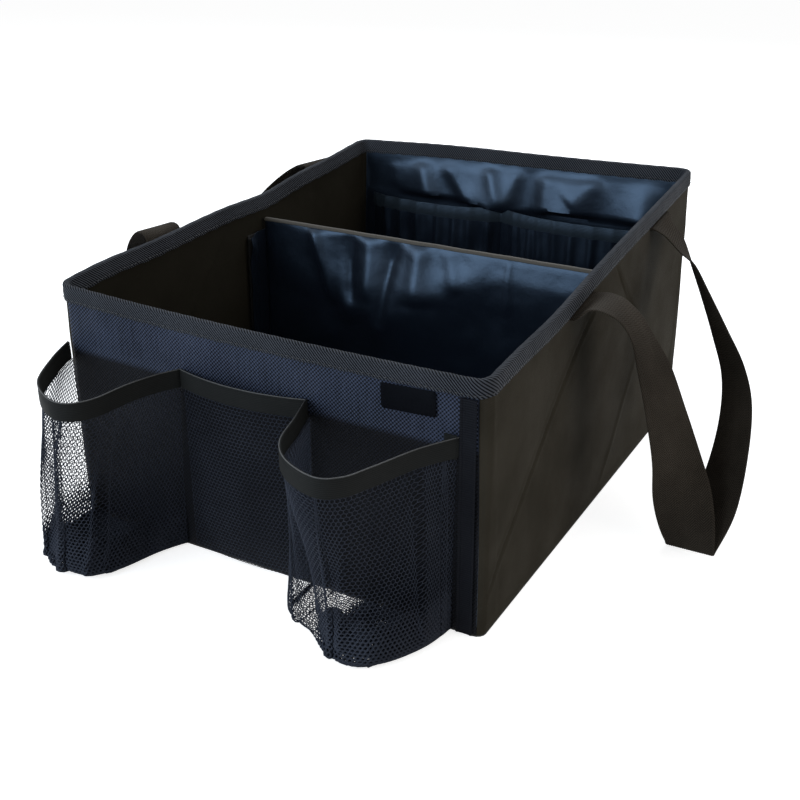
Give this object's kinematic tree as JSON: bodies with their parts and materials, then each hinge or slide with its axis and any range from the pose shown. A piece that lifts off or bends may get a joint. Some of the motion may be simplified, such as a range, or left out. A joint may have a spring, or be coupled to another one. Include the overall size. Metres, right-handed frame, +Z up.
{
  "type": "car seat organizer",
  "caption": "Open fabric storage box with a divider, an inner pocket, net bottle pockets on the front and webbing carry handles.",
  "frame": {"origin": "middle of the base's underside, where the box stands on a seat or floor", "axes": "+Z up, -Y the front with the net pockets, +X to the right seen from the front"},
  "size_m": [0.514, 0.4602, 0.2013],
  "materials": {
    "front_cloth": "coated oxford weave, matte with a soft sheen",
    "side_cloth": "smooth coated cloth, matte",
    "lining_cloth": "thin nylon lining, soft shine",
    "board": "stiffening board, inside the cloth",
    "binding": "twill ribbon, matte",
    "elastic_band": "folded band, matte",
    "net": "knitted net, matte",
    "hook_tape": "hook-and-loop tape, matte",
    "webbing": "ribbed webbing, matte",
    "label": "woven patch, bare, matte"
  },
  "bodies": {
    "root": {"base_board": "board", "base_panel": "side_cloth", "divider_board": "board", "divider_cover": "lining_cloth", "divider_flap_left": "lining_cloth", "divider_flap_right": "lining_cloth", "flat_pocket_net": "net", "floor_lining": "lining_cloth", "front_board": "board", "front_lining": "lining_cloth", "front_panel": "front_cloth", "hook_tape_left": "hook_tape", "hook_tape_right": "hook_tape", "inner_pocket": "lining_cloth", "inner_pocket_band": "elastic_band", "left_bottle_net": "net", "left_handle": "webbing", "left_lining": "lining_cloth", "left_side_panel": "side_cloth", "loop_tape_left": "hook_tape", "loop_tape_right": "hook_tape", "net_band": "elastic_band", "net_edge_tape": "elastic_band", "rear_board": "board", "rear_lining": "lining_cloth", "rear_panel": "side_cloth", "right_bottle_net": "net", "right_handle": "webbing", "right_lining": "lining_cloth", "right_side_panel": "side_cloth", "rim_binding": "binding", "woven_label": "label"}
  },
  "joints": []
}
